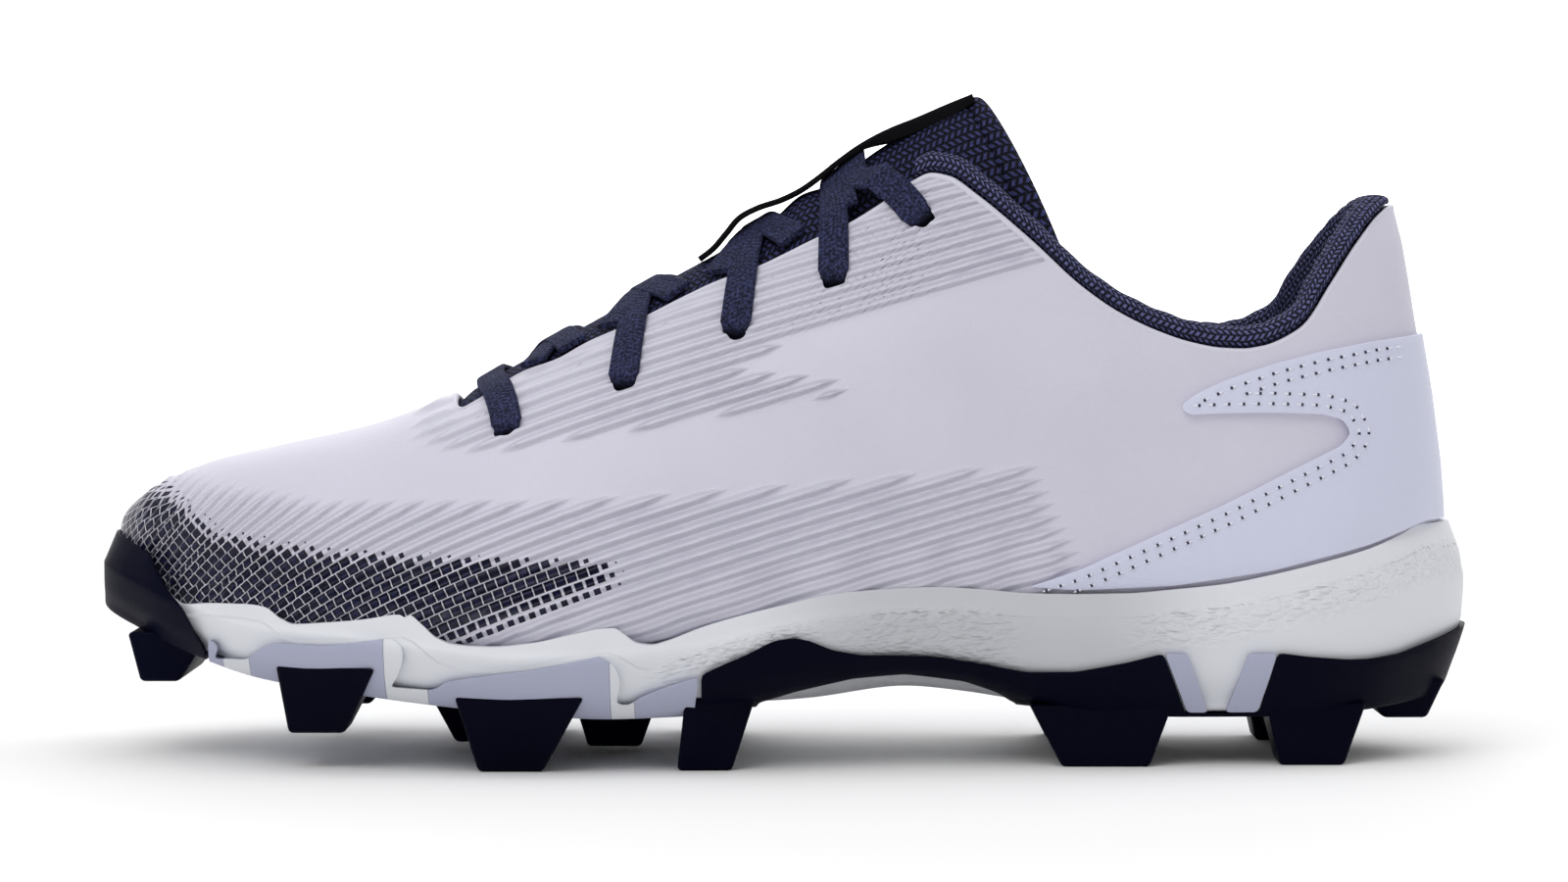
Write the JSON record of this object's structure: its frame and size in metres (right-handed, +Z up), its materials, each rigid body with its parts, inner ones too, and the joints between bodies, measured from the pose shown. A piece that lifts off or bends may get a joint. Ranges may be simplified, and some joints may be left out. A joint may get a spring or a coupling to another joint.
{
  "type": "baseball cleat",
  "caption": "Low-cut moulded baseball cleat, left shoe, with padded collar, mesh tongue, flat laces and a rubber outsole with tapered lugs.",
  "frame": {"origin": "on the ground, under the middle of the shoe's length and width", "axes": "+X from toe to heel, -Y towards the lateral side, +Z up"},
  "size_m": [0.2852, 0.1013, 0.137],
  "materials": {
    "synthetic_white": "satin, fine grain, moulded ribs",
    "synthetic_lilac": "satin, fine grain",
    "foam_white": "matte with textured bands",
    "rubber_navy": "satin",
    "rubber_lilac": "matte",
    "mesh_navy": "open spacer mesh",
    "lace_navy": "flat heather knit",
    "webbing_black": "flat webbing",
    "sockliner": "brushed"
  },
  "bodies": {
    "root": {"upper": "synthetic_white", "heel_counter": "synthetic_lilac", "collar_lining": "mesh_navy", "tongue": "mesh_navy", "tongue_strap": "webbing_black", "insole": "sockliner", "midsole": "foam_white", "toe_bumper": "rubber_navy", "rear_outsole": "rubber_navy", "forefoot_plate": "rubber_lilac", "heel_bar_front_lateral": "rubber_lilac", "heel_bar_front_medial": "rubber_lilac", "heel_bar_back_lateral": "rubber_lilac", "heel_bar_back_medial": "rubber_lilac", "lug_front_lateral": "rubber_navy", "lug_front_medial": "rubber_navy", "lug_ball_lateral": "rubber_navy", "lug_ball_medial": "rubber_navy", "lug_middle_front": "rubber_navy", "lug_middle_back": "rubber_navy", "lace_row_1": "lace_navy", "lace_cross_1": "lace_navy", "lace_row_2": "lace_navy", "lace_row_3": "lace_navy", "lace_row_4": "lace_navy", "lace_row_5": "lace_navy"}
  },
  "joints": []
}
